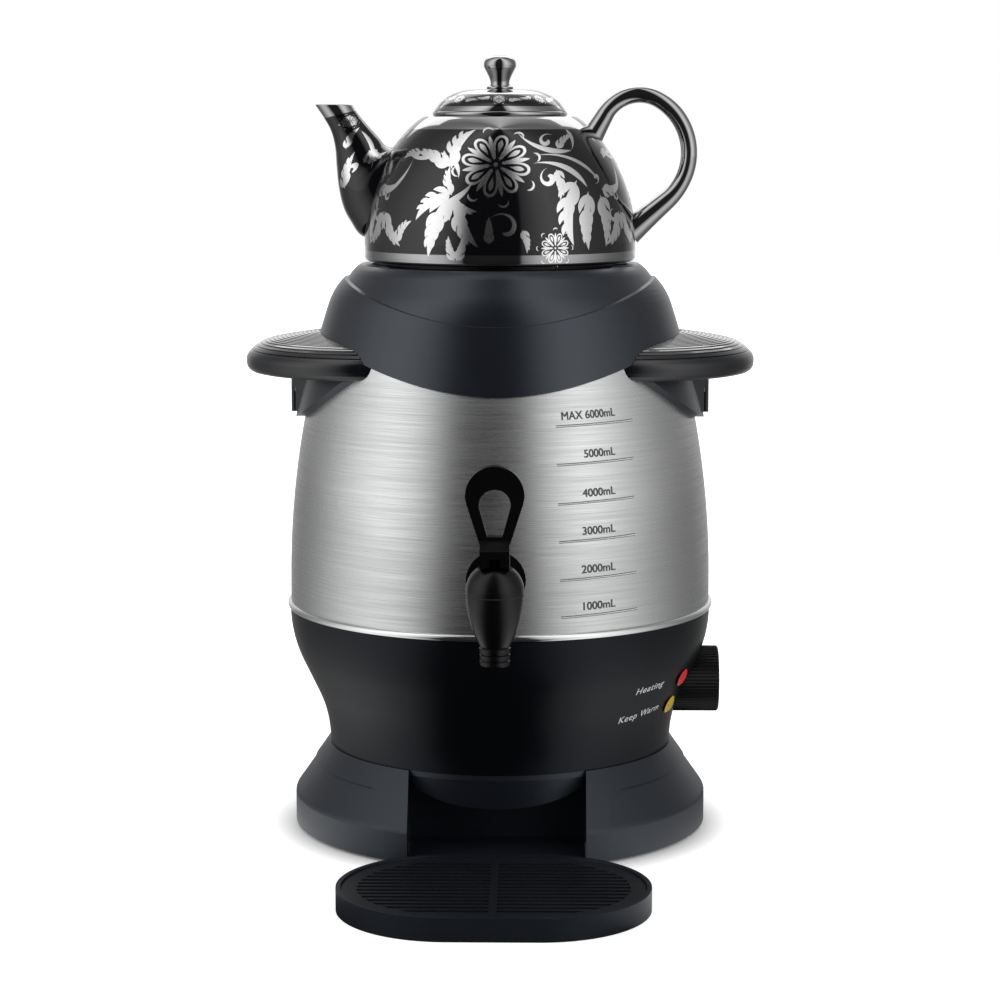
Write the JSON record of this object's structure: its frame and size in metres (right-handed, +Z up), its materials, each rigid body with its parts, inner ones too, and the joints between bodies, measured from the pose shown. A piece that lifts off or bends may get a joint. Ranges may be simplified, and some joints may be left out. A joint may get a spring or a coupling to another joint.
{
  "type": "samovar",
  "caption": "Electric samovar with a brushed steel boiler, black moulded foot, collar and side handles, a ring-lever tap over a drip tray, and a black ceramic teapot on top.",
  "frame": {"origin": "where the urn's vertical axis meets the table", "axes": "+Z up along the urn's axis, -Y towards the front with the tap, +X towards the control knob"},
  "size_m": [0.2868, 0.3632, 0.4355],
  "materials": {
    "shell_plastic": "satin charcoal moulding",
    "foot_plastic": "satin dark grey moulding",
    "tap_plastic": "polished black",
    "knob_plastic": "satin black",
    "lid_plastic": "fine matt",
    "inner_plastic": "moulded thermoset",
    "boiler_steel": "brushed round the body",
    "pan_steel": "rolled",
    "bright_trim": "polished",
    "plate_alloy": "cast and faced",
    "element_sheath": "annealed sheath",
    "fastener_steel": "zinc plated",
    "spring_wire": "drawn wire",
    "tap_brass": "turned",
    "seal_rubber": "moulded silicone",
    "foot_rubber": "moulded",
    "wire_cover": "glass braid over rubber",
    "red_window": "clear red",
    "amber_window": "clear amber",
    "pot_glaze": "black glaze with silver ornament",
    "pot_silver": "silver lustre over glaze"
  },
  "bodies": {
    "urn": {"base_skirt": "foot_plastic", "base_plate": "lid_plastic", "rubber_feet": "foot_rubber", "base_screws": "fastener_steel", "lower_housing": "shell_plastic", "cord_gland": "lid_plastic", "terminal_block": "inner_plastic", "wire_harness": "wire_cover", "bead_ring": "bright_trim", "steel_body": "boiler_steel", "tank_floor": "pan_steel", "heat_plate": "plate_alloy", "heating_element": "element_sheath", "thermal_cutout": "tap_brass", "thermostat": "inner_plastic", "thermostat_nut": "tap_brass", "red_lens": "red_window", "amber_lens": "amber_window", "lamp_holders": "knob_plastic", "collar": "shell_plastic", "collar_gasket": "seal_rubber", "left_handle": "shell_plastic", "right_handle": "shell_plastic", "left_bracket": "shell_plastic", "right_bracket": "shell_plastic", "handle_screws": "fastener_steel", "bracket_bolts": "fastener_steel", "tap_body": "tap_plastic", "tap_gasket": "seal_rubber", "tap_inner_gasket": "seal_rubber", "tap_nut": "tap_brass", "tap_nozzle": "tap_plastic", "tap_bonnet": "tap_plastic"},
    "knob": {"control_knob": "knob_plastic", "knob_shaft": "fastener_steel"},
    "lid": {"filler_lid": "lid_plastic", "lid_gasket": "seal_rubber", "steam_plate": "lid_plastic"},
    "teapot": {"teapot_body": "pot_glaze", "teapot_spout": "pot_glaze", "teapot_handle": "pot_silver"},
    "pot_lid": {"teapot_lid": "pot_glaze"},
    "spindle": {"tap_spindle": "tap_plastic", "tap_seal": "seal_rubber", "tap_pin": "fastener_steel", "tap_spring": "spring_wire"},
    "lever": {"tap_lever": "tap_plastic"},
    "tray": {"drip_tray": "foot_plastic"},
    "grille": {"drip_grille": "lid_plastic"}
  },
  "joints": [
    {"name": "knob_turn", "type": "hinge", "parent": "urn", "child": "knob", "pos_m": [0.11, 0, 0.0816], "axis": [1, 0, 0], "range_deg": [0, 270]},
    {"name": "spindle_rise", "type": "slide", "parent": "urn", "child": "spindle", "axis": [0, 0, 1], "range_m": [0, 0.00384], "stiffness_N_per_m": 600, "deforming": ["tap_spring"]},
    {"name": "lever_tilt", "type": "hinge", "parent": "spindle", "child": "lever", "pos_m": [0, -0.152, 0.1772], "axis": [1, 0, 0], "range_deg": [0, 40]},
    {"name": "tray_pull", "type": "slide", "parent": "urn", "child": "tray", "axis": [0, -1, 0], "range_m": [0, 0.08]},
    {"name": "grille_lift", "type": "slide", "parent": "tray", "child": "grille", "axis": [0, 0, 1], "range_m": [0, 0.03]},
    {"name": "lid_lift", "type": "slide", "parent": "urn", "child": "lid", "axis": [0, 0, 1], "range_m": [0, 0.06]},
    {"name": "pot_lift", "type": "slide", "parent": "lid", "child": "teapot", "axis": [0, 0, 1], "range_m": [0, 0.1]},
    {"name": "pot_lid_lift", "type": "slide", "parent": "teapot", "child": "pot_lid", "axis": [0, 0, 1], "range_m": [0, 0.05]}
  ],
  "couplings": [
    {"joint": "lever_tilt", "follows": "spindle_rise", "rad_per_m": 181.8}
  ]
}
